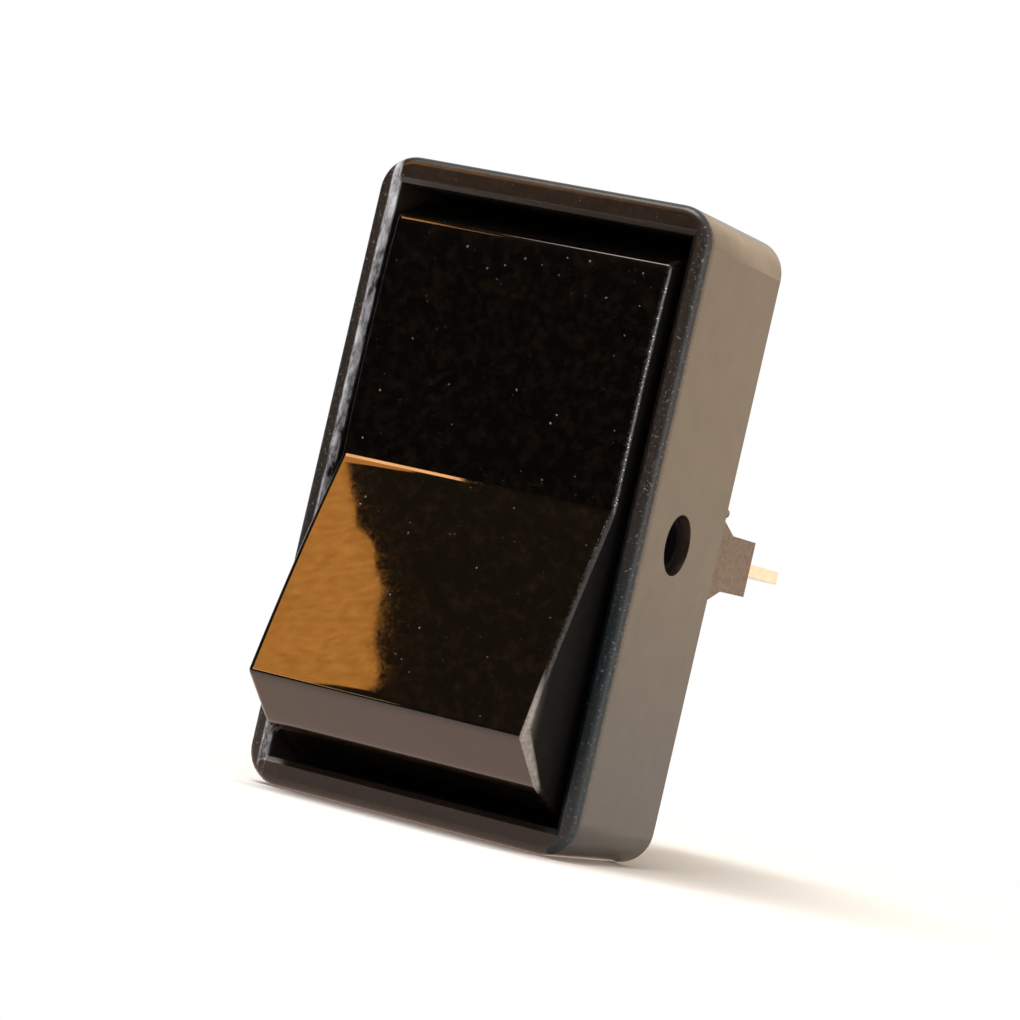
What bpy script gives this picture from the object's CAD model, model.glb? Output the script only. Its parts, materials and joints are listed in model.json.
"""The looks of the panel rocker switch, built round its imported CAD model. Lengths are in metres."""

import json
import math
import random

import bmesh
import bpy
from mathutils import Matrix, Vector, noise

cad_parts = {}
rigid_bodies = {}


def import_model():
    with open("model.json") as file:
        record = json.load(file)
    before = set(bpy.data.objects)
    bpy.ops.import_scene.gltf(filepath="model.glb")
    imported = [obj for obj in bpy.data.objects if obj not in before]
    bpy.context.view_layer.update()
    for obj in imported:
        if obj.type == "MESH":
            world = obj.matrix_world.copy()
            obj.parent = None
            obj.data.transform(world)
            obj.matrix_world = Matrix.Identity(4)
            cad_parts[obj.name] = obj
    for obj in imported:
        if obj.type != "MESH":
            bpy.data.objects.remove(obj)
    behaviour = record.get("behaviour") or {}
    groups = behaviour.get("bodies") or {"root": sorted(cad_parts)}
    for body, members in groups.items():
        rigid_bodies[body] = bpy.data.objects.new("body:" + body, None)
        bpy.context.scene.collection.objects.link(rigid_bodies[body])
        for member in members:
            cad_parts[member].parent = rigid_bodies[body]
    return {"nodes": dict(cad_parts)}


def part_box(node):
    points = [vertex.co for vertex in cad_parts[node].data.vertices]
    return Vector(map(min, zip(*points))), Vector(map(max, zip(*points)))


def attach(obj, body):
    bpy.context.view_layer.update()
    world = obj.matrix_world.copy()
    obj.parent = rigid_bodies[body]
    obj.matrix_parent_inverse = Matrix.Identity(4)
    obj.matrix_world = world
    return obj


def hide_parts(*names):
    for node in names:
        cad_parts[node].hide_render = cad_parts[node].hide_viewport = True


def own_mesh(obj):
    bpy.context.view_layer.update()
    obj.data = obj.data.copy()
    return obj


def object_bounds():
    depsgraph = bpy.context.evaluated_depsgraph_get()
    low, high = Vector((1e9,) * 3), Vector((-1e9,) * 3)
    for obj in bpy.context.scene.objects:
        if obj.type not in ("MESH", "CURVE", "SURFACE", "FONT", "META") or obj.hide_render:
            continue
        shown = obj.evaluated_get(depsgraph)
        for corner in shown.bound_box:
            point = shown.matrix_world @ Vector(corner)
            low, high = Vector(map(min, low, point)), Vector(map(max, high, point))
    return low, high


# the file Blender starts with holds objects of its own
for old in list(bpy.data.objects):
    bpy.data.objects.remove(old)

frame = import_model()
bpy.context.view_layer.update()
cad_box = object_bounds()
nodes = frame["nodes"]

MM = 0.001
LOWEST = cad_box[0].z


# ---- camera: to the right of the front, almost level, and turned about its own axis ----

AZIMUTH, ELEVATION, ROLL = 24.93, -1.246, 13.004
DISTANCE = 220.4 * MM
LENS, SENSOR_WIDTH = 139.47, 36.0
NEAR_CLIP, FAR_CLIP = 0.005, 20.0
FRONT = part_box("housing")[0].y
AIM = Vector((2.263 * MM, FRONT, -0.189 * MM))


def direction(azimuth, elevation):
    """Unit vector from the part towards a place at this azimuth and elevation."""
    a, e = math.radians(azimuth), math.radians(elevation)
    return Vector((math.sin(a) * math.cos(e), -math.cos(a) * math.cos(e), math.sin(e)))


def sideways(azimuth):
    """Level unit vector to the right of someone who looks at the part from this azimuth."""
    a = math.radians(azimuth)
    return Vector((math.cos(a), math.sin(a), 0.0))


def make_camera():
    """The photo's view."""
    data = bpy.data.cameras.new("camera")
    data.lens, data.sensor_width = LENS, SENSOR_WIDTH
    data.clip_start, data.clip_end = NEAR_CLIP, FAR_CLIP
    camera = bpy.data.objects.new("camera", data)
    bpy.context.collection.objects.link(camera)
    back, right = direction(AZIMUTH, ELEVATION), sideways(AZIMUTH)
    up = back.cross(right)
    roll = math.radians(ROLL)
    x = math.cos(roll) * right + math.sin(roll) * up
    y = -math.sin(roll) * right + math.cos(roll) * up
    turn = Matrix((x, y, back)).transposed().to_4x4()
    camera.matrix_world = Matrix.Translation(AIM + back * DISTANCE) @ turn
    bpy.context.scene.camera = camera


make_camera()


# ---- the rocker's sizes, in millimetres; only its pivot's place is in metres ----

# u runs up along the rocker and v out of the panel, both from the pivot
TILT = math.radians(11.0)
PIVOT = Vector((0.0, FRONT + 5.15 * MM, 0.0))
ROCKER_W, SIDE_ROUND = 17.4, 0.35
HALF_W = ROCKER_W / 2
CREASE_U, CREASE_V = 0.2, 5.6
TIP_U, TIP_V = 13.8, 8.2
SLOPE = (TIP_V - CREASE_V) / TIP_U
FACE_BULGE = 0.2
SWING_R = 16.45
HEEL = (15.836, 4.45)
SKIRT_V = -1.657
WALL, ROOF = 1.3, 1.6
STUD_R, STUD_END, CORE_R, CORE_DEPTH, EAR_R = 1.7, 9.9, 1.25, 2.0, 2.6
STEM_R, BORE_R = 2.46, 1.66
STEM_LOW = -6.6
CREASE_EASE, TIP_EASE, HEEL_EASE = 0.10, 0.19, 0.3


def level(x, u, v):
    """A point of the level rocker, in millimetres, brought to its tilt at rest."""
    c, s = math.cos(TILT), math.sin(TILT)
    return Vector((x, u * s - v * c, u * c + v * s)) * MM + PIVOT


# ---- materials ----


class Nodes:
    """A small helper that adds nodes to the tree of a material or of the world."""

    def __init__(self, owner):
        owner.use_nodes = True
        self.tree = owner.node_tree
        self.where = self.add("ShaderNodeTexCoord").outputs["Object"]

    def add(self, kind, **values):
        """A new node of this kind with these settings."""
        node = self.tree.nodes.new(kind)
        for key, value in values.items():
            setattr(node, key, value)
        return node

    def link(self, a, b):
        self.tree.links.new(a, b)

    def stretch(self, scale):
        """The place with each axis scaled; a small scale draws a texture out along it."""
        node = self.add("ShaderNodeMapping")
        node.inputs["Scale"].default_value = scale
        self.link(self.where, node.inputs["Vector"])
        return node.outputs["Vector"]

    def put(self, value, socket):
        """Sets a number or a colour, or links another node's output."""
        if isinstance(value, (int, float)):
            socket.default_value = value
        elif isinstance(value, tuple):
            socket.default_value = (*value, 1.0)
        else:
            self.link(value, socket)

    def noise(self, size_mm, detail=3.0, rough=0.5, at=None, seed=0.0):
        """Cloudy texture from 0 to 1; each seed gives a cloud of its own."""
        node = self.add("ShaderNodeTexNoise", noise_dimensions="4D")
        self.put(1.0 / (size_mm * MM), node.inputs["Scale"])
        self.put(detail, node.inputs["Detail"])
        self.put(rough, node.inputs["Roughness"])
        self.put(seed, node.inputs["W"])
        self.link(at or self.where, node.inputs["Vector"])
        return node.outputs["Fac"]

    def remap(self, value, low, high, to_low=0.0, to_high=1.0):
        """The value brought from one range to another and kept within it."""
        node = self.add("ShaderNodeMapRange", clamp=True)
        ends = {"From Min": low, "From Max": high, "To Min": to_low, "To Max": to_high}
        for key, number in ends.items():
            self.put(number, node.inputs[key])
        self.link(value, node.inputs["Value"])
        return node.outputs["Result"]

    def fade(self, value, start_mm, end_mm, low=0.0, high=1.0):
        """From low to high between two places on an axis, given in millimetres."""
        return self.remap(value, start_mm * MM, end_mm * MM, low, high)

    def part(self, axis):
        """One coordinate of the place, in metres: "X", "Y" or "Z"."""
        node = self.add("ShaderNodeSeparateXYZ")
        self.link(self.where, node.inputs[0])
        return node.outputs[axis]

    def along(self, way):
        """How far the place lies along a direction, in metres."""
        node = self.add("ShaderNodeVectorMath", operation="DOT_PRODUCT")
        self.link(self.where, node.inputs[0])
        node.inputs[1].default_value = way
        return node.outputs["Value"]

    def math(self, kind, a, b):
        """The result of one operation, kept between 0 and 1."""
        node = self.add("ShaderNodeMath", operation=kind, use_clamp=True)
        self.put(a, node.inputs[0])
        self.put(b, node.inputs[1])
        return node.outputs[0]

    def product(self, *factors):
        """All the factors multiplied."""
        result = factors[0]
        for factor in factors[1:]:
            result = self.math("MULTIPLY", result, factor)
        return result

    def mix(self, share, a, b):
        """Colour a passing into colour b; the node's colour sockets are numbers 6, 7 and 2."""
        node = self.add("ShaderNodeMix", data_type="RGBA")
        self.link(share, node.inputs["Factor"])
        self.put(a, node.inputs[6])
        self.put(b, node.inputs[7])
        return node.outputs[2]

    def blend(self, share, a, b):
        """One finished shader passing into another."""
        node = self.add("ShaderNodeMixShader")
        for value, socket in zip((share, a, b), node.inputs):
            self.link(value, socket)
        return node.outputs[0]

    def show(self, result):
        """Makes this shader what the tree puts out."""
        out = next(node for node in self.tree.nodes if node.type.startswith("OUTPUT"))
        self.link(result, out.inputs["Surface"])

    def edges(self, radius_mm, low=0.02, high=0.3):
        """How near a sharp edge the surface is, from 0 to 1."""
        soft = self.add("ShaderNodeBevel", samples=8)
        self.put(radius_mm * MM, soft.inputs["Radius"])
        real = self.add("ShaderNodeNewGeometry")
        dot = self.add("ShaderNodeVectorMath", operation="DOT_PRODUCT")
        self.link(soft.outputs["Normal"], dot.inputs[0])
        self.link(real.outputs["Normal"], dot.inputs[1])
        return self.remap(dot.outputs["Value"], 1.0 - low, 1.0 - high)

    def bump(self, height, depth_mm, strength, under=None):
        """Relief of this depth, over the relief under it."""
        node = self.add("ShaderNodeBump")
        self.put(depth_mm * MM, node.inputs["Distance"])
        self.put(strength, node.inputs["Strength"])
        self.link(height, node.inputs["Height"])
        if under is not None:
            self.link(under, node.inputs["Normal"])
        return node.outputs["Normal"]


class Shader(Nodes):
    """The nodes of one new material."""

    def __init__(self, name):
        self.mat = bpy.data.materials.new(name)
        super().__init__(self.mat)
        self.bsdf = self.tree.nodes["Principled BSDF"]

    def finish(self, colour, roughness, normal=None, metallic=0.0, **fixed):
        """The material as a surface; fixed sets its other inputs by name."""
        self.put(colour, self.bsdf.inputs["Base Color"])
        self.put(roughness, self.bsdf.inputs["Roughness"])
        self.put(metallic, self.bsdf.inputs["Metallic"])
        for key, value in fixed.items():
            self.put(value, self.bsdf.inputs[key.replace("_", " ")])
        if normal is not None:
            self.link(normal, self.bsdf.inputs["Normal"])
        return self.mat

    def shine(self, colour):
        """The material as nothing but light of this colour."""
        glow = self.add("ShaderNodeEmission")
        self.put(colour, glow.inputs["Color"])
        self.show(glow.outputs[0])
        self.tree.nodes.remove(self.bsdf)
        return self.mat


# where the looks of the frame and the rocker change, in millimetres of the frame
RIM_FRONT_Y = (-10.9, -11.0)
COOL_X, COOL_Z = (8.9, 9.1), (3.0, -5.0)
SCUFF_OUTER_X, SCUFF_INNER_X = (-9.72, -9.62), (-9.15, -9.25)
WORN_CORNER = (20.95, 21.15)
EDGE_X = (8.37, 8.43)
DULL_Y = (-16.2, -15.2)
RUB_Z = (-2.0, -4.0)
# the tip's pale rub: its width at the tip and how fast that narrows, and its soft border
END_RUB, EDGE_RUB, RUB_BLUR = (0.72, 0.09), (0.56, 0.17), 0.25
CHALK = (0.26, 0.235, 0.21)


def tip_rub(s):
    """Where the lower tip's corner is rubbed pale: a wedge along its end and its long edge."""
    tip, heel = Vector((-TIP_U, TIP_V)), Vector((-HEEL[0], HEEL[1]))
    crease = Vector((-CREASE_U, CREASE_V))
    place = level(0, *tip)
    masks = []
    for end, (wide, narrowing) in ((heel, END_RUB), (crease, EDGE_RUB)):
        run = (end - tip).normalized()
        out = Vector((run.y, -run.x))
        if out.dot(tip) < 0:
            out = -out
        way = out - narrowing * run
        line = (level(0, *way) - level(0, 0, 0)) / MM
        start = place.dot(line) / MM - wide
        masks.append(s.fade(s.along(line), start, start + RUB_BLUR))
    return s.product(s.math("MAXIMUM", *masks), s.fade(s.part("Z"), *RUB_Z))


def chalked(s, colour, amount):
    """The colour with the pale rub laid over it unevenly."""
    uneven = s.remap(s.noise(0.3, 3.0, 0.7, seed=22.0), 0.3, 0.6, 0.5, 1.0)
    return s.mix(s.product(amount, uneven), colour, CHALK)


def frame_plastic():
    """Satin brown-black moulding with a fine grain and specks on its worn outer corner.

    The rim is darker in patches and colder at its lower right, and has a scuffed strip on the left.
    """
    s = Shader("frame_plastic_look")
    x, y, z = s.part("X"), s.part("Y"), s.part("Z")
    front = s.fade(y, *RIM_FRONT_Y)
    cloud = s.remap(s.noise(5.0, 4.0, 0.6), 0.35, 0.7)
    body = s.mix(cloud, (0.024, 0.0145, 0.0100), (0.031, 0.0195, 0.0140))
    patchy = s.remap(s.noise(0.35, 4.0, 0.7, seed=31.0), 0.22, 0.50)
    shaded = s.mix(s.product(front, patchy), body, (0.0075, 0.0050, 0.0038))
    low_right = s.product(s.fade(x, *COOL_X), s.fade(z, *COOL_Z), front)
    cooled = s.mix(low_right, shaded, (0.0045, 0.0085, 0.0105))
    speck = s.remap(s.noise(0.3, 4.0, 0.75, seed=5.0), 0.60, 0.70)
    width_and_depth = s.math("SUBTRACT", s.math("ABSOLUTE", x, 0.0), y)
    corner = s.fade(width_and_depth, *WORN_CORNER)
    worn = s.product(corner, s.remap(s.noise(0.20, 4.0, 0.75, seed=15.0), 0.58, 0.65))
    rubbed = s.mix(s.math("ADD", s.product(speck, 0.10), worn), cooled, (0.15, 0.14, 0.15))
    long_noise = s.noise(0.7, 5.0, 0.75, at=s.stretch((1.0, 1.0, 0.35)), seed=21.0)
    strip = s.product(s.fade(x, *SCUFF_OUTER_X), s.fade(x, *SCUFF_INNER_X))
    scuffed = s.product(strip, s.remap(long_noise, 0.40, 0.62), front)
    colour = s.mix(scuffed, rubbed, (0.55, 0.56, 0.61))
    satin = s.remap(s.noise(1.5, 4.0, 0.6, seed=2.0), 0.3, 0.7, 0.30, 0.36)
    rough = s.math("ADD", satin, s.product(corner, 0.12))
    grain = s.bump(s.noise(0.05, 2.0, 0.6, seed=7.0), 0.0015, 0.5)
    wave = s.bump(s.noise(2.6, 2.0, 0.5, seed=9.0), 0.006, 0.5, under=grain)
    return s.finish(colour, rough, s.bump(worn, 0.012, 0.6, under=wave))


def rocker_plastic():
    """Polished black with faint brown smears and hairlines, duller on its right-hand edge."""
    s = Shader("rocker_plastic_look")
    smear = s.remap(s.noise(0.8, 5.0, 0.75), 0.48, 0.70)
    body = s.mix(smear, (0.0016, 0.0013, 0.0010), (0.0085, 0.0052, 0.0030))
    edge = s.fade(s.part("X"), *EDGE_X)
    worn = s.product(edge, s.remap(s.noise(0.22, 3.0, 0.7, seed=2.0), 0.45, 0.6))
    dull = s.mix(worn, body, (0.020, 0.015, 0.012))
    colour = chalked(s, dull, s.product(tip_rub(s), edge))
    film = s.remap(s.noise(0.6, 4.0, 0.7, seed=4.0), 0.35, 0.75, 0.015, 0.035)
    spots = s.remap(s.noise(0.30, 4.0, 0.75, seed=41.0), 0.45, 0.72, 0.0, 0.03)
    rough = s.math("ADD", s.math("ADD", film, spots), s.product(edge, 0.10))
    lines = s.noise(0.25, 2.0, 0.6, at=s.stretch((1.0, 1.0, 0.05)), seed=6.0)
    hairs = s.bump(lines, 0.0002, 0.25)
    mottle = s.bump(s.noise(0.45, 3.0, 0.6, seed=12.0), 0.0002, 0.5, under=hairs)
    return s.finish(colour, rough, s.bump(worn, 0.01, 0.5, under=mottle), IOR=1.52)


def rocker_side():
    """The rocker's sides and studs: the same black as it leaves a textured mould."""
    s = Shader("rocker_side_look")
    smear = s.remap(s.noise(1.1, 5.0, 0.7), 0.45, 0.7)
    black = s.mix(smear, (0.0030, 0.0024, 0.0020), (0.0050, 0.0038, 0.0030))
    colour = chalked(s, black, tip_rub(s))
    fine = s.remap(s.noise(0.5, 3.0, 0.6, seed=3.0), 0.3, 0.7, 0.14, 0.22)
    rough = s.math("ADD", fine, s.fade(s.part("Y"), *DULL_Y, 0.0, 0.7))
    grain = s.bump(s.noise(0.08, 2.0, 0.6), 0.003, 0.5)
    return s.finish(colour, rough, grain, Specular_IOR_Level=0.12)


def base_plastic():
    """Flecked brown moulding of the terminal base, rougher than the frame, with dark edges."""
    s = Shader("base_plastic_look")
    cloud = s.remap(s.noise(2.2, 4.0, 0.6), 0.35, 0.7)
    body = s.mix(cloud, (0.056, 0.027, 0.0140), (0.098, 0.050, 0.028))
    fleck = s.remap(s.noise(0.16, 3.0, 0.7, seed=8.0), 0.50, 0.66)
    speckled = s.mix(s.product(fleck, 0.6), body, (0.17, 0.105, 0.070))
    colour = s.mix(s.edges(0.3), speckled, (0.018, 0.012, 0.009))
    rough = s.remap(s.noise(0.4, 3.0, 0.6, seed=3.0), 0.3, 0.7, 0.38, 0.55)
    grain = s.bump(s.noise(0.12, 2.0, 0.6, seed=7.0), 0.006, 0.6)
    return s.finish(colour, rough, grain)


def copper_strip():
    """Rolled copper alloy: fine lengthwise lines, warm tarnish in patches."""
    s = Shader("copper_strip_look")
    patch = s.remap(s.noise(1.8, 4.0, 0.65), 0.4, 0.7)
    colour = s.mix(patch, (0.80, 0.585, 0.515), (0.70, 0.45, 0.375))
    lines = s.noise(0.1, 2.0, 0.6, at=s.stretch((1.0, 0.06, 1.0)), seed=4.0)
    rough = s.remap(lines, 0.3, 0.7, 0.22, 0.38)
    return s.finish(colour, rough, s.bump(lines, 0.003, 0.5), metallic=1.0)


def plain_metal(name, light, dark, smooth, coarse):
    """Plated or bare metal with faint cloudiness and fine scuffs."""
    s = Shader(name)
    patch = s.remap(s.noise(1.2, 4.0, 0.65), 0.4, 0.7)
    colour = s.mix(patch, light, dark)
    scuff = s.noise(0.12, 3.0, 0.6, at=s.stretch((0.2, 1.0, 1.0)), seed=4.0)
    rough = s.remap(scuff, 0.3, 0.7, smooth, coarse)
    return s.finish(colour, rough, s.bump(scuff, 0.003, 0.5), metallic=1.0)


def nylon():
    """Natural nylon: off-white, waxy, slightly see-through."""
    s = Shader("nylon_look")
    patch = s.remap(s.noise(1.0, 3.0, 0.6), 0.35, 0.7)
    colour = s.mix(patch, (0.80, 0.77, 0.70), (0.72, 0.68, 0.60))
    rough = s.remap(s.noise(0.3, 3.0, 0.6, seed=3.0), 0.3, 0.7, 0.35, 0.5)
    grain = s.bump(s.noise(0.15, 2.0, 0.6, seed=7.0), 0.004, 0.5)
    return s.finish(
        colour, rough, grain, Subsurface_Weight=0.15, Subsurface_Scale=0.4 * MM
    )


LOOKS = {
    "frame_plastic": frame_plastic(),
    "rocker_plastic": rocker_plastic(),
    "rocker_side": rocker_side(),
    "base_plastic": base_plastic(),
    "copper_strip": copper_strip(),
    "contact_silver": plain_metal(
        "contact_silver_look", (0.86, 0.85, 0.82), (0.72, 0.70, 0.66), 0.25, 0.4
    ),
    "spring_steel": plain_metal(
        "spring_steel_look", (0.50, 0.51, 0.53), (0.38, 0.39, 0.42), 0.28, 0.42
    ),
    "rivet_steel": plain_metal(
        "rivet_steel_look", (0.68, 0.66, 0.60), (0.54, 0.51, 0.46), 0.28, 0.42
    ),
    "nylon": nylon(),
}

# a CAD piece's material name, without its number, says which look it wears
for node in nodes.values():
    for slot in node.material_slots:
        slot.material = LOOKS[slot.material.name.split(".")[0]]


# ---- rocker: one fine skin in place of the CAD's faces, so that its polish reflects evenly ----

FACE_STEPS, TIP_STEPS, END_STEPS, HEEL_STEPS, BACK_STEPS = 38, 5, 8, 4, 8
ROUND_STEPS, COLUMNS, STUD_SIDES, STEM_SIDES = 8, 40, 72, 64
# rows of the skin beside its rounded edge, in millimetres inward from it
EDGE_ROWS = (0.04, 0.3, 0.6)
# shares: the crease's narrow bands, the rows along the skirt and the pocket's length
BAND_EDGE, SKIRT_SHARE, POCKET_SHARE = 0.08, 0.985, 0.91
# a moulded face's unevenness: its height, the lengths of its waves and where it fades out
WAVE_HEIGHT, LONG_WAVE, SHORT_WAVE, SHORT_SHARE = 0.006, 5.5, 2.1, 0.35
CALM_SIDE, CALM_END, CALM_FADE, CREASE_FADE = 0.5, 13.2, 2.5, 2.0
# roundings and small steps of the parts behind the faces, in millimetres
POCKET_ROUND, ROOF_V = 0.1, CREASE_V - ROOF
EAR_EDGE, ROOT, STUD_EDGE, STUD_ARC, CORE_EDGE = 0.08, 0.1, 0.12, 0.03, 0.06
SUNK, STEM_CAP, STEM_EDGE, BORE_EDGE, BORE_TOP = 0.2, 0.5, 0.15, 0.1, 0.8
RIB_T, RIB_INSET, RIB_EDGE = 1.2, 0.2, 0.12
SIDE_SKIN = 0.02
ORIGIN = Vector((0.0, 0.0))


def ease(a, corner, b, count):
    """Points of a smooth bend from a to b that bulges towards the corner."""
    out = []
    for i in range(count + 1):
        t = i / count
        out.append((1 - t) ** 2 * a + 2 * t * (1 - t) * corner + t * t * b)
    return out


def meet_circle(start, way, centre, radius, sign):
    """Where a straight line crosses a circle: the far crossing for sign 1, the near for -1."""
    gap = start - centre
    half = gap.dot(way)
    root = math.sqrt(half * half - gap.length_squared + radius * radius)
    return start + (sign * root - half) * way


def angle_of(way):
    """The angle of a flat vector, in radians."""
    return math.atan2(way.y, way.x)


def arc(centre, radius, first, last, steps):
    """Points of a circle from one angle to another."""
    points = []
    for i in range(steps + 1):
        a = first + (last - first) * i / steps
        points.append(centre + radius * Vector((math.cos(a), math.sin(a))))
    return points


def face_circle(start, tip, depth):
    """Centre and radius of the bulged face from its crease to its tip, sunk by depth."""
    way = (tip - start).normalized()
    out = Vector((-way.y, way.x))
    chord = (tip - start).length
    radius = (chord * chord / 4 + FACE_BULGE**2) / (2 * FACE_BULGE)
    return (start + tip) / 2 + (FACE_BULGE - radius) * out, radius - depth


def half_profile(shift, depth):
    """The rocker's outline from its crease to its skirt, sunk by depth, as (u, v) points."""
    start = Vector((shift, CREASE_V))
    tip = start + Vector((TIP_U, TIP_V - CREASE_V))
    centre, radius = face_circle(start, tip, depth)
    end = (Vector(HEEL) - tip).normalized()
    end_start = tip - depth * Vector((-end.y, end.x))
    corner = meet_circle(end_start, end, centre, radius, -1)
    low = Vector((shift, centre.y + math.sqrt(radius**2 - (shift - centre.x) ** 2)))
    first = angle_of(low - centre) - CREASE_EASE / radius
    last = angle_of(corner - centre) + TIP_EASE / radius
    points = arc(centre, radius, first, last, FACE_STEPS)
    points += ease(points[-1], corner, corner + TIP_EASE * end, TIP_STEPS)[1:]
    swing = SWING_R - depth
    foot = meet_circle(end_start, end, ORIGIN, swing, 1)
    high_end, low_end = points[-1], foot - HEEL_EASE * end
    points += [high_end.lerp(low_end, i / END_STEPS) for i in range(1, END_STEPS + 1)]
    bend = angle_of(foot) - HEEL_EASE / swing
    back = arc(ORIGIN, swing, bend, math.asin(SKIRT_V / swing), BACK_STEPS)
    return points + ease(low_end, foot, back[0], HEEL_STEPS)[1:] + back[1:]


def outline(depth):
    """The whole outline, from the upper skirt over both faces to the lower skirt."""
    upper = half_profile(-CREASE_U, depth)
    lower = [Vector((-p.x, p.y)) for p in half_profile(CREASE_U, depth)]
    band = [upper[0].lerp(lower[0], share) for share in (BAND_EDGE, 1 - BAND_EDGE)]
    return upper[::-1] + band + lower


def hollow(points):
    """The pocket's outline that goes with each point of the outside."""
    inner = []
    for p in points:
        side = 1 if p.x >= 0 else -1
        u = abs(p.x)
        v = min(p.y, ROOF_V + SLOPE * min(u, TIP_U - ROOF))
        u = min(math.sqrt((SWING_R - WALL) ** 2 - v**2), u * POCKET_SHARE)
        inner.append(Vector((side * u, v)))
    return inner


def sheet(bm, rows):
    """Joins rows of vertices into an open sheet."""
    for a, b in zip(rows, rows[1:]):
        for j in range(len(a) - 1):
            bm.faces.new((a[j], a[j + 1], b[j + 1], b[j]))


def tube(bm, rings):
    """Joins rings of vertices into a tube with a cap at each end."""
    for a, b in zip(rings, rings[1:]):
        for k in range(len(a)):
            n = (k + 1) % len(a)
            bm.faces.new((a[k], a[n], b[n], b[k]))
    bm.faces.new(rings[0][::-1])
    bm.faces.new(rings[-1])


def skin(profiles, edge, half_width, bm, wave=None):
    """A sheet over the outline with rounded long edges and flat sides down to the skirt."""
    steps = len(profiles) - 1
    rows = []
    for i, top in enumerate(profiles[0]):
        row = [(half_width, profiles[-1][i].x * SKIRT_SHARE, SKIRT_V)]
        for k in range(steps, -1, -1):
            p = profiles[k][i]
            angle = math.pi / 2 * k / steps
            row.append((half_width - edge + edge * math.sin(angle), p.x, p.y))
        row += [(half_width - edge - gap, top.x, top.y) for gap in EDGE_ROWS]
        across = row[-1][0]
        middle = [
            (across - 2 * across * j / COLUMNS, top.x, top.y) for j in range(1, COLUMNS)
        ]
        full = row + middle + [(-x, u, v) for x, u, v in row][::-1]
        if wave is not None:
            full = [(x, u, v + wave(x, u, half_width)) for x, u, v in full]
        rows.append([bm.verts.new(level(*q)) for q in full])
    sheet(bm, rows)
    return rows


def border(rows):
    """The vertices round the edge of a sheet, in order."""
    return (
        rows[0] + [r[-1] for r in rows[1:-1]] + rows[-1][::-1] + [r[0] for r in rows[-2:0:-1]]
    )


def sink(x, u, half_width):
    """The slight unevenness of a moulded face, in millimetres; none at its edges."""
    rim = min(1.0, max(0.0, (half_width - CALM_SIDE - abs(x)) / CALM_FADE))
    end = min(1.0, max(0.0, (CALM_END - abs(u)) / CALM_FADE))
    crease = min(1.0, abs(u + CREASE_U) / CREASE_FADE)
    broad = noise.noise(Vector((x / LONG_WAVE, u / LONG_WAVE, 3.1)))
    close = noise.noise(Vector((x / SHORT_WAVE, u / SHORT_WAVE, 8.4)))
    return WAVE_HEIGHT * (broad + SHORT_SHARE * close) * rim * end * crease


def lathe(bm, radius_points, sides, along):
    """A turned form: radius_points are (distance along, radius); along maps them to the part."""
    rings = []
    for run, radius in radius_points:
        turns = [math.tau * k / sides for k in range(sides)]
        rings.append([
            bm.verts.new(along(run, radius * math.cos(a), radius * math.sin(a))) for a in turns
        ])
    tube(bm, rings)


def finish_mesh(bm, name, looks, sharp_degrees):
    """An object from bmesh geometry, smooth but for its sharp edges, with these materials."""
    bmesh.ops.recalc_face_normals(bm, faces=bm.faces)
    mesh = bpy.data.meshes.new(name)
    bm.to_mesh(mesh)
    bm.free()
    for face in mesh.polygons:
        face.use_smooth = True
    mesh.set_sharp_from_angle(angle=math.radians(sharp_degrees))
    for look in looks:
        mesh.materials.append(look)
    made = bpy.data.objects.new(name, mesh)
    bpy.context.collection.objects.link(made)
    return made


def add_shell(bm):
    """The button: its outer skin, the pocket behind it and the rim that joins them."""
    turns = [math.pi / 2 * k / ROUND_STEPS for k in range(ROUND_STEPS + 1)]
    outside = [outline(SIDE_ROUND * (1 - math.cos(turn))) for turn in turns]
    inside = [hollow(outside[0])] * len(outside)
    outer = border(skin(outside, SIDE_ROUND, HALF_W, bm, wave=sink))
    inner = border(skin(inside, POCKET_ROUND, HALF_W - WALL, bm))
    for k in range(len(outer)):
        n = (k + 1) % len(outer)
        bm.faces.new((outer[k], outer[n], inner[n], inner[k]))


def add_studs(bm):
    """A pivot stud with its ear and its cored end on each side."""
    stud = [
        (HALF_W - WALL, EAR_R - ROOT), (HALF_W - WALL, EAR_R), (HALF_W - EAR_EDGE, EAR_R),
        (HALF_W, EAR_R - EAR_EDGE), (HALF_W, STUD_R + ROOT), (HALF_W + ROOT, STUD_R),
        (STUD_END - STUD_EDGE, STUD_R), (STUD_END - STUD_ARC, STUD_R - STUD_ARC),
        (STUD_END, STUD_R - STUD_EDGE), (STUD_END, CORE_R + CORE_EDGE),
        (STUD_END - CORE_EDGE, CORE_R), (STUD_END - CORE_DEPTH, CORE_R),
    ]
    for side in (-1, 1):
        lathe(bm, stud, STUD_SIDES, lambda run, a, b, side=side: level(side * run, a, b))


def add_stem(bm):
    """The bored stem that holds the plunger, sunk into the roof."""
    stem = [
        (ROOF_V + SUNK, BORE_R - STEM_CAP), (ROOF_V + SUNK, STEM_R),
        (STEM_LOW + STEM_EDGE, STEM_R), (STEM_LOW, STEM_R - STEM_EDGE),
        (STEM_LOW, BORE_R + BORE_EDGE), (STEM_LOW + BORE_EDGE, BORE_R),
        (ROOF_V - BORE_TOP, BORE_R),
    ]
    lathe(bm, stem, STEM_SIDES, lambda run, a, b: level(a, b, run))


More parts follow.
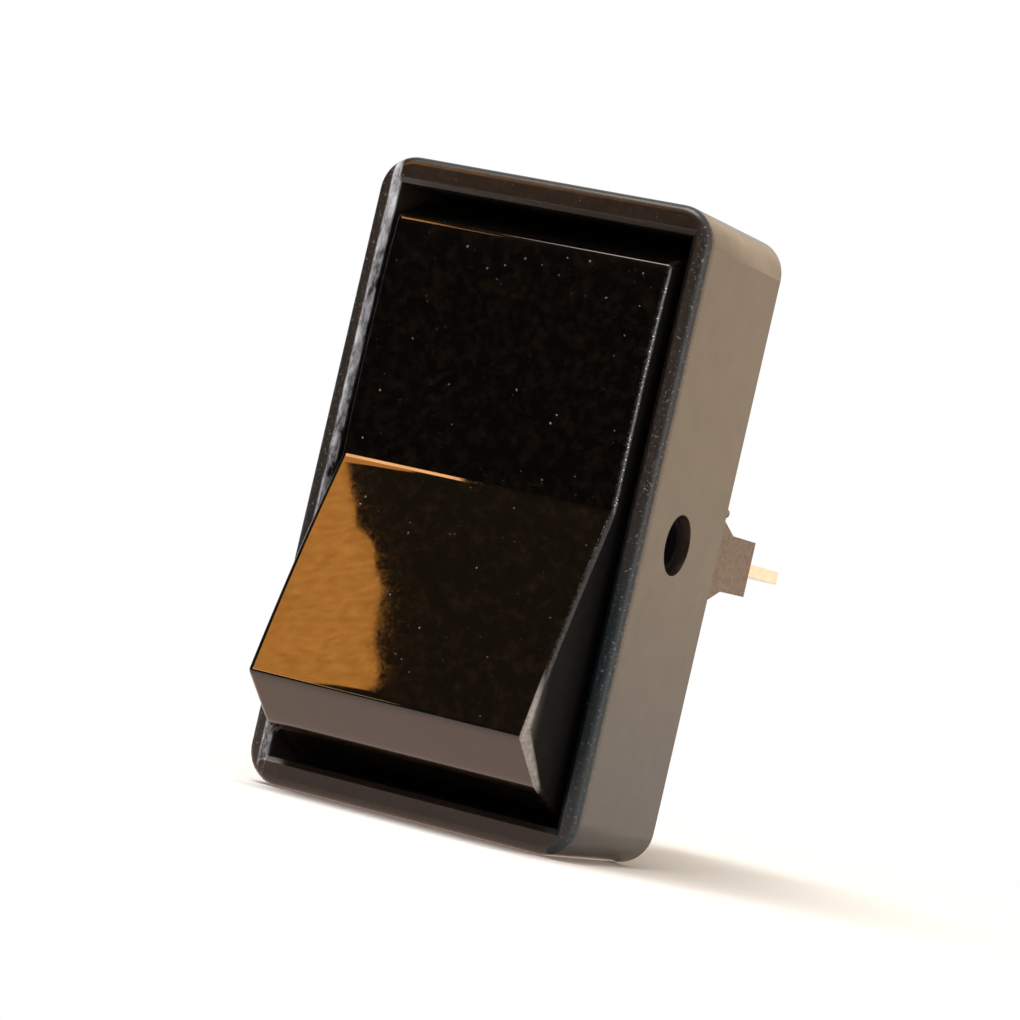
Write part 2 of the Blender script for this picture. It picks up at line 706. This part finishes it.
def add_rib(bm):
    """The web between the studs, under the roof."""
    corners = bmesh.ops.create_cube(bm, size=1.0)["verts"]
    high, low = ROOF_V + SUNK, -STUD_R
    for vert in corners:
        x, u, share = vert.co.x, vert.co.y, vert.co.z + 0.5
        vert.co = level(
            x * (ROCKER_W - 2 * RIB_INSET), u * RIB_T, high - share * (high - low)
        )
    edges = list({e for v in corners for e in v.link_edges})
    bmesh.ops.bevel(bm, geom=edges, offset=RIB_EDGE * MM, segments=2, affect="EDGES")


def add_rocker():
    """The whole rocker, in place of its CAD solid, with the sides in their own look."""
    bm = bmesh.new()
    add_shell(bm)
    add_studs(bm)
    add_stem(bm)
    add_rib(bm)
    rocker = finish_mesh(
        bm, "rocker_skin", (LOOKS["rocker_plastic"], LOOKS["rocker_side"]), sharp_degrees=40
    )
    for face in rocker.data.polygons:
        if abs(face.center.x) > (HALF_W - SIDE_SKIN) * MM:
            face.material_index = 1
    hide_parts("rocker")
    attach(rocker, "rocker")


add_rocker()


# ---- plunger spring: a round wire that shortens as the plunger slides in ----

SPRING_TOP, SPRING_FOOT = 3.15, -4.15
COIL_R, WIRE_R, TURNS, FLAT_TURN = 1.34, 0.16, 8, 0.6
WIRE_SIDES, TURN_STEPS = 12, 32


def add_spring():
    """Coil along the rocker's stem, with flat end turns, as a tube of round section."""
    climb = SPRING_TOP - SPRING_FOOT - 2 * WIRE_R
    climbing = TURNS - 2 * FLAT_TURN
    bm = bmesh.new()
    rings = []
    for i in range(TURNS * TURN_STEPS + 1):
        turn = i / TURN_STEPS
        angle = math.tau * turn
        share = min(max(turn - FLAT_TURN, 0), climbing) / climbing
        high = SPRING_TOP - WIRE_R - climb * share
        ring = []
        for k in range(WIRE_SIDES):
            b = math.tau * k / WIRE_SIDES
            q, v = COIL_R + WIRE_R * math.cos(b), high + WIRE_R * math.sin(b)
            ring.append(bm.verts.new(level(q * math.cos(angle), q * math.sin(angle), v)))
        rings.append(ring)
    tube(bm, rings)
    spring = finish_mesh(bm, "spring_wire", (LOOKS["spring_steel"],), sharp_degrees=50)
    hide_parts("plunger_spring")
    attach(spring, "rocker")
    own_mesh(spring)


add_spring()


# ---- dust: tiny flattened grains that lie on the faces; sizes in millimetres ----

FACE_X, FACE_RUN, UPPER_SHARE = 8.1, (0.3, 13.2), 0.55
EDGE_TURN, EDGE_RUN = (0.6, 0.95), (0.4, 12.8)
RIM_SIDE_X, RIM_SIDE_Z, SIDE_SHARE = (9.45, 10.15), 17.6, 0.65
RIM_END_X, RIM_END_Z = 9.4, (17.0, 18.0)
GRAIN_WIDTH, GRAIN_HEIGHT = (0.4, 0.9), 0.35


def scatter(name, body, count, pick, seed, look):
    """Grains of dust: pick returns a point, its normal and a size in millimetres."""
    rng = random.Random(seed)
    bm = bmesh.new()
    for _ in range(count):
        place, normal, size = pick(rng)
        turn = normal.to_track_quat("Z", "Y").to_matrix().to_4x4()
        spin = Matrix.Rotation(rng.uniform(0, math.tau), 4, "Z")
        width = size * rng.uniform(*GRAIN_WIDTH)
        shape = Matrix.Diagonal((size, width, size * GRAIN_HEIGHT, 1.0))
        matrix = Matrix.Translation(place) @ turn @ spin @ shape
        bmesh.ops.create_icosphere(bm, subdivisions=1, radius=MM, matrix=matrix)
    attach(finish_mesh(bm, name, (look,), sharp_degrees=180), body)


def grain_size(rng, least, spread, power):
    """A random size, mostly near the least."""
    return least + spread * rng.random() ** power


def face_height(run):
    """How high a bulged face lies over the pivot at this distance from the crease."""
    return CREASE_V + SLOPE * run + FACE_BULGE * (1 - (2 * run / TIP_U - 1) ** 2)


def on_rocker(rng):
    """A grain on either face."""
    x = rng.uniform(-FACE_X, FACE_X)
    run = rng.uniform(*FACE_RUN)
    size = grain_size(rng, least=0.020, spread=0.085, power=5)
    side = 1 if rng.random() < UPPER_SHARE else -1
    u, v = side * (run - side * CREASE_U), face_height(run)
    lean = math.atan(SLOPE)
    normal = level(x, u - side * math.sin(lean), v + math.cos(lean)) - level(x, u, v)
    return level(x, u, v), normal, size


def on_edge(rng):
    """A grain on the rounded long edge of the upper face, to the right."""
    turn = rng.uniform(*EDGE_TURN)
    run = rng.uniform(*EDGE_RUN)
    x = HALF_W - SIDE_ROUND * (1 - math.sin(turn))
    v = face_height(run) - SIDE_ROUND * (1 - math.cos(turn))
    normal = level(math.sin(turn), 0, math.cos(turn)) - level(0, 0, 0)
    size = grain_size(rng, least=0.022, spread=0.045, power=2)
    return level(x, run - CREASE_U, v), normal, size


def on_rim(rng):
    """A grain on the flat front of the rim, more often on its long sides."""
    side = rng.choice((-1, 1))
    if rng.random() < SIDE_SHARE:
        x, z = side * rng.uniform(*RIM_SIDE_X), rng.uniform(-RIM_SIDE_Z, RIM_SIDE_Z)
    else:
        x, z = rng.uniform(-RIM_END_X, RIM_END_X), side * rng.uniform(*RIM_END_Z)
    size = grain_size(rng, least=0.018, spread=0.035, power=2)
    return Vector((x * MM, FRONT, z * MM)), Vector((0, -1, 0)), size


def dust_look(name, dark, light):
    """Matt grains between two shades."""
    s = Shader(name)
    shade = s.remap(s.noise(0.4, 2.0, 0.5), 0.4, 0.6)
    return s.finish(s.mix(shade, dark, light), s.remap(shade, 0.0, 1.0, 0.7, 0.9))


DUST = dust_look("dust_look", (0.04, 0.036, 0.030), (0.20, 0.185, 0.155))
GRIT = dust_look("grit_look", (0.34, 0.33, 0.32), (0.70, 0.69, 0.67))
scatter("rocker_dust", "rocker", 210, on_rocker, seed=7, look=DUST)
scatter("edge_grit", "rocker", 70, on_edge, seed=5, look=GRIT)
scatter("rim_dust", "switch_body", 90, on_rim, seed=11, look=DUST)


# ---- edge breaks on the CAD nodes ----

EDGE_MM = {
    "housing": 0.12,
    "terminal_base": 0.2,
    "common_terminal": 0.06,
    "load_terminal": 0.06,
    "contact_arm": 0.06,
    "moving_contact": 0.08,
    "fixed_contact": 0.08,
    "base_rivets": 0.06,
    "upper_clip": 0.05,
    "lower_clip": 0.05,
}
JOIN_MM, EDGE_SEGMENTS, EDGE_DEGREES = 0.002, 3, 32


def break_edges(node, width_mm):
    """Joins the CAD faces into one skin and rounds its sharp edges."""
    weld = node.modifiers.new("join", "WELD")
    weld.merge_threshold = JOIN_MM * MM
    bevel = node.modifiers.new("edges", "BEVEL")
    bevel.width = width_mm * MM
    bevel.segments = EDGE_SEGMENTS
    bevel.limit_method = "ANGLE"
    bevel.angle_limit = math.radians(EDGE_DEGREES)
    bevel.harden_normals = True
    bevel.use_clamp_overlap = True


for name, width in EDGE_MM.items():
    break_edges(nodes[name], width)


# ---- floor, world and lamps ----

FLOOR_SIZE, FLOOR_DROP = 3.0, 0.05 * MM
FLOOR_FADE = (38 * MM, 85 * MM)


def staged(name, mesh, look):
    """A studio object, which is no part of the switch."""
    mesh.materials.append(look)
    made = bpy.data.objects.new(name, mesh)
    bpy.context.collection.objects.link(made)
    return made


def flat_sheet(name, size, place, look):
    """A level rectangle that faces up, centred on its place."""
    x, y = size[0] / 2, size[1] / 2
    mesh = bpy.data.meshes.new(name)
    mesh.from_pydata([(x, y, 0), (-x, y, 0), (-x, -y, 0), (x, -y, 0)], [], [(0, 1, 2, 3)])
    made = staged(name, mesh, look)
    made.location = place
    return made


def seen_rays(s):
    """One for rays that show the backdrop itself: from the camera, in gloss or through glass."""
    path = s.add("ShaderNodeLightPath")
    result = path.outputs["Is Camera Ray"]
    for kind in ("Is Glossy Ray", "Is Transmission Ray"):
        result = s.math("MAXIMUM", result, path.outputs[kind])
    return result


def make_floor():
    """A pale floor that keeps the shadow near the part and runs into the white beyond it."""
    s = Shader("floor")
    look = s.finish((0.86, 0.86, 0.86), 0.9, Specular_IOR_Level=0.1)
    distance = s.add("ShaderNodeVectorMath", operation="LENGTH")
    s.link(s.where, distance.inputs[0])
    fade = s.add("ShaderNodeMapRange", interpolation_type="SMOOTHSTEP")
    s.put(FLOOR_FADE[0], fade.inputs["From Min"])
    s.put(FLOOR_FADE[1], fade.inputs["From Max"])
    s.link(distance.outputs["Value"], fade.inputs["Value"])
    white = s.add("ShaderNodeEmission").outputs[0]
    share = s.product(fade.outputs["Result"], seen_rays(s))
    s.show(s.blend(share, s.bsdf.outputs[0], white))
    flat_sheet("floor", (FLOOR_SIZE, FLOOR_SIZE), (0, 0, LOWEST - FLOOR_DROP), look)


def make_world():
    """White where the backdrop itself is seen, and a faint warm fill for all other rays."""
    world = bpy.data.worlds.new("studio")
    bpy.context.scene.world = world
    s = Nodes(world)
    skies = []
    for colour, strength in (((1.0, 0.97, 0.94), 0.5), ((1.0, 1.0, 1.0), 1.0)):
        sky = s.add("ShaderNodeBackground")
        s.put(colour, sky.inputs["Color"])
        s.put(strength, sky.inputs["Strength"])
        skies.append(sky.outputs[0])
    s.show(s.blend(seen_rays(s), *skies))


def lamp(name, azimuth, elevation, distance, size, watts, colour):
    """A rectangular lamp that faces the part; its distance and size are in metres."""
    data = bpy.data.lights.new(name, "AREA")
    data.shape = "RECTANGLE"
    data.size, data.size_y = size
    data.energy = watts
    data.color = colour
    light = bpy.data.objects.new(name, data)
    bpy.context.collection.objects.link(light)
    away = direction(azimuth, elevation)
    light.location = away * distance
    light.rotation_mode = "QUATERNION"
    light.rotation_quaternion = away.to_track_quat("Z", "Y")
    return data


make_floor()
make_world()
lamp("key", -20, 66, 0.42, size=(0.26, 0.26), watts=1.9, colour=(1.0, 0.96, 0.91))
side = lamp("side", 152, 14, 0.40, size=(0.62, 0.56), watts=1.05, colour=(1.0, 0.54, 0.07))
# the side lamp is there for its gleam, so matt surfaces take little of it
side.diffuse_factor = 0.15
lamp("fill", 66, 6, 0.55, size=(0.22, 0.26), watts=0.75, colour=(0.97, 0.93, 0.93))


# ---- studio cards: what the polished faces reflect, and nothing else ----

CARD_AZIMUTH, CARD_ELEVATION, CARD_DISTANCE = -40, 40, 300 * MM
DOME_AZIMUTHS, DOME_ELEVATIONS, DOME_DISTANCE = (-112, 34), (-12, 89), 440 * MM
DOME_STEPS = 12
APRON_DROP = 0.02 * MM
SPOT_TALL = 4.0
NEAR_BLACK = (0.012, 0.012, 0.011)
# corners of the warm card and of its bright foot, set by hand, in millimetres right and up
WARM_OUTLINE = [
    (54, -95), (50, -75), (49, -59), (32, -27), (24, -15), (18, -9), (3, 10), (-4, 20),
    (-32, 18), (-22, -20), (-2, -60), (10, -95),
]
BRIGHT_FOOT = [(73, -112), (69, -102), (54, -95), (10, -95), (22, -112)]


def only_in_gloss(card):
    """Leaves the card to be seen in polished surfaces alone."""
    card.visible_camera = False
    card.visible_diffuse = False
    card.visible_shadow = False
    card.visible_transmission = False
    card.visible_volume_scatter = False


def card_frame():
    """Middle, right and up of the plane that holds the warm card and its foot."""
    away, right = direction(CARD_AZIMUTH, CARD_ELEVATION), sideways(CARD_AZIMUTH)
    return away * CARD_DISTANCE, right, away.cross(right)


def outline_card(name, corners_mm, look):
    """A flat card cut to corners in the plane of card_frame."""
    middle, right, up = card_frame()
    mesh = bpy.data.meshes.new(name)
    points = [middle + (x * right + z * up) * MM for x, z in corners_mm]
    mesh.from_pydata(points, [], [tuple(range(len(points)))])
    only_in_gloss(staged(name, mesh, look))


def dome_card(name, look):
    """A piece of a sphere round the part."""
    bm = bmesh.new()
    rows = []
    for i in range(DOME_STEPS + 1):
        low, high = DOME_ELEVATIONS
        elevation = low + (high - low) * i / DOME_STEPS
        row = []
        for j in range(DOME_STEPS + 1):
            left, right = DOME_AZIMUTHS
            azimuth = left + (right - left) * j / DOME_STEPS
            row.append(bm.verts.new(direction(azimuth, elevation) * DOME_DISTANCE))
        rows.append(row)
    sheet(bm, rows)
    mesh = bpy.data.meshes.new(name)
    bm.to_mesh(mesh)
    bm.free()
    only_in_gloss(staged(name, mesh, look))


def graded_glow(name, axis, start_mm, end_mm, first, last):
    """Light that passes from one colour to another along an axis of the card."""
    s = Shader(name)
    return s.shine(s.mix(s.fade(s.part(axis), start_mm, end_mm), first, last))


def spotted_glow(name, light, dark, size_mm):
    """Light that varies over a card between two colours, in spots taller than wide."""
    s = Shader(name)
    _, right, up = card_frame()
    place = s.add("ShaderNodeCombineXYZ")
    s.link(s.along(right), place.inputs["X"])
    s.link(s.along(up / SPOT_TALL), place.inputs["Y"])
    spots = s.add("ShaderNodeTexNoise")
    s.put(1.0 / (size_mm * MM), spots.inputs["Scale"])
    s.put(3.0, spots.inputs["Detail"])
    s.link(place.outputs[0], spots.inputs["Vector"])
    return s.shine(s.mix(s.remap(spots.outputs["Fac"], 0.35, 0.65), dark, light))


def floor_card(name, size_mm, middle_mm, look):
    """A level card just over the floor."""
    size, (x, y) = Vector(size_mm) * MM, Vector(middle_mm) * MM
    only_in_gloss(flat_sheet(name, size, (x, y, LOWEST - APRON_DROP), look))


dome_card("dark_dome", graded_glow("dark_dome", "Z", 85, 190, NEAR_BLACK, (0.115, 0.072, 0.036)))
warm = spotted_glow("warm_card", (9.6, 3.8, 0.72), (6.5, 2.35, 0.38), size_mm=1.0)
outline_card("warm_card", WARM_OUTLINE, warm)
bright = spotted_glow("bright_card", (22.0, 10.8, 4.6), (17.0, 8.0, 3.2), size_mm=12.0)
outline_card("bright_card", BRIGHT_FOOT, bright)
bounce = graded_glow("floor_bounce", "Y", 0.0, -3.2, (1.42, 1.02, 0.84), (1.98, 1.46, 1.24))
floor_card("floor_bounce", (34, 30), (-8, -16), bounce)
floor_card("cool_apron", (240, 150), (-50, -130), Shader("cool_apron").shine((0.26, 0.42, 0.50)))
floor_card("dark_apron", (540, 240), (-150, -325), Shader("dark_apron").shine(NEAR_BLACK))


# ---- the sizes and the end ----

bpy.context.scene.view_settings.view_transform = "Standard"
bpy.context.view_layer.update()
